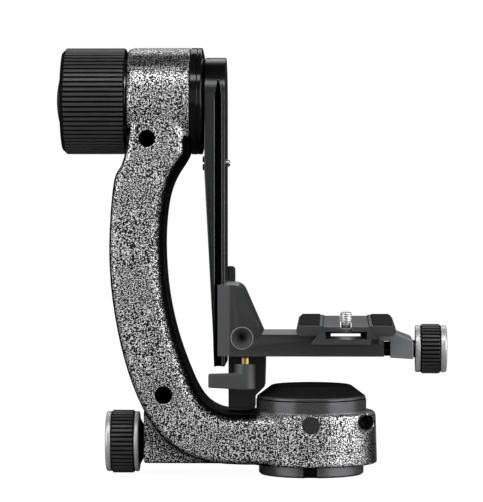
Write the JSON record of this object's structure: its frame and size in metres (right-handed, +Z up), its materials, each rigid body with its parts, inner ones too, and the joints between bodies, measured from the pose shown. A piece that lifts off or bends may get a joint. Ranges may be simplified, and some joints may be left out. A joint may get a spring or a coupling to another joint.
{
  "type": "gimbal tripod head",
  "caption": "C-shaped frame that pans on a round base and carries a tilting swing arm with a sliding quick-release carriage for long camera lenses.",
  "frame": {"origin": "on the pan axis, at the lower face of the base ring, where the tripod's thread goes in", "axes": "+Z up along the pan axis, +X from the C-shaped frame towards the plate clamp along the tilt axis, +Y away from the side with the height lever"},
  "size_m": [0.2203, 0.12, 0.2405],
  "materials": {
    "hammertone": "hammered silver over black",
    "gloss_black": "polished black",
    "black_anodised": "satin black anodised",
    "grey_anodised": "satin dark grey anodised",
    "knob_rubber": "ribbed black rubber",
    "pad_rubber": "fine black rubber",
    "bare_aluminium": "turned and polished",
    "steel": "turned steel",
    "black_screw": "blackened steel",
    "brass": "turned brass",
    "nylon": "plain nylon"
  },
  "bodies": {
    "base": {"base_ring": "grey_anodised", "pan_spindle": "steel", "base_screws": "black_screw", "pan_bearing_lower": "steel", "pan_bearing_upper": "steel", "spindle_nut": "bare_aluminium"},
    "frame": {"frame_casting": "hammertone", "pan_cap": "gloss_black", "front_plug": "grey_anodised", "side_screw": "gloss_black", "tilt_bearing_left": "steel", "tilt_bearing_right": "steel", "friction_ring": "gloss_black", "thrust_washer": "steel"},
    "arm": {"tilt_shaft": "steel", "arm_flange": "gloss_black", "swing_arm": "black_anodised", "hub_bolt": "steel", "hub_cap": "black_anodised", "arm_screws": "black_screw", "stop_bolt": "black_anodised", "stop_nub": "steel"},
    "tilt_knob": {"tilt_knob_core": "bare_aluminium", "tilt_knob_grip": "knob_rubber", "tilt_knob_cap": "black_anodised"},
    "pan_knob": {"pan_knob_core": "bare_aluminium", "pan_knob_grip": "knob_rubber", "pan_knob_collar": "black_anodised", "pan_lock_stud": "steel"},
    "lock_shoe": {"pan_lock_shoe": "brass"},
    "carriage": {"carriage": "grey_anodised", "grip_block": "black_anodised", "grip_screws": "black_screw"},
    "far_jaw": {"far_jaw": "black_anodised", "draw_bar": "grey_anodised", "draw_screw": "black_screw"},
    "height_lever": {"height_lever": "grey_anodised", "lever_stud": "brass"},
    "clamp_jaw": {"clamp_jaw": "grey_anodised", "guide_pins": "steel"},
    "clamp_knob": {"clamp_knob_core": "bare_aluminium", "clamp_knob_grip": "knob_rubber", "clamp_spindle": "steel"},
    "plate": {"quick_plate": "black_anodised", "plate_pads": "pad_rubber"},
    "slot_washer": {"slot_washer": "nylon"},
    "camera_screw": {"camera_screw": "steel"}
  },
  "joints": [
    {"name": "pan_turn", "type": "hinge", "parent": "base", "child": "frame", "pos_m": [0, 0, 0], "axis": [0, 0, 1], "continuous": true},
    {"name": "tilt_turn", "type": "hinge", "parent": "frame", "child": "arm", "pos_m": [0, 0, 0.2105], "axis": [1, 0, 0], "continuous": true},
    {"name": "tilt_knob_turn", "type": "hinge", "parent": "arm", "child": "tilt_knob", "pos_m": [0, 0, 0.2105], "axis": [1, 0, 0], "range_deg": [-270, 0]},
    {"name": "pan_lock_turn", "type": "hinge", "parent": "frame", "child": "pan_knob", "pos_m": [0, 0, 0.018], "axis": [1, 0, 0], "range_deg": [-90, 90]},
    {"name": "lock_shoe_slide", "type": "slide", "parent": "frame", "child": "lock_shoe", "axis": [1, 0, 0], "range_m": [-0.00025, 0.00025]},
    {"name": "carriage_slide", "type": "slide", "parent": "arm", "child": "carriage", "axis": [0, 0, 1], "range_m": [0, 0.055]},
    {"name": "far_jaw_slide", "type": "slide", "parent": "carriage", "child": "far_jaw", "axis": [0, 1, 0], "range_m": [0, 0.0005]},
    {"name": "height_lever_turn", "type": "hinge", "parent": "carriage", "child": "height_lever", "pos_m": [-0.0369, -0.0232, 0.055], "axis": [0, 0, 1], "range_deg": [0, 50]},
    {"name": "clamp_jaw_slide", "type": "slide", "parent": "carriage", "child": "clamp_jaw", "axis": [1, 0, 0], "range_m": [0, 0.004]},
    {"name": "clamp_knob_turn", "type": "hinge", "parent": "clamp_jaw", "child": "clamp_knob", "pos_m": [0, 0, 0.0708], "axis": [1, 0, 0], "range_deg": [0, 1440]},
    {"name": "plate_slide", "type": "slide", "parent": "carriage", "child": "plate", "axis": [0, 1, 0], "range_m": [-0.02, 0.02]},
    {"name": "camera_screw_slide", "type": "slide", "parent": "plate", "child": "slot_washer", "axis": [0, 1, 0], "range_m": [-0.02, 0.05]},
    {"name": "camera_screw_turn", "type": "hinge", "parent": "slot_washer", "child": "camera_screw", "pos_m": [0.0195, -0.018, 0.08], "axis": [0, 0, 1], "continuous": true}
  ],
  "couplings": [
    {"joint": "lock_shoe_slide", "follows": "pan_lock_turn", "m_per_rad": 0.00015915},
    {"joint": "height_lever_turn", "follows": "far_jaw_slide", "rad_per_m": 1745.3},
    {"joint": "clamp_knob_turn", "follows": "clamp_jaw_slide", "rad_per_m": 6283.2}
  ]
}
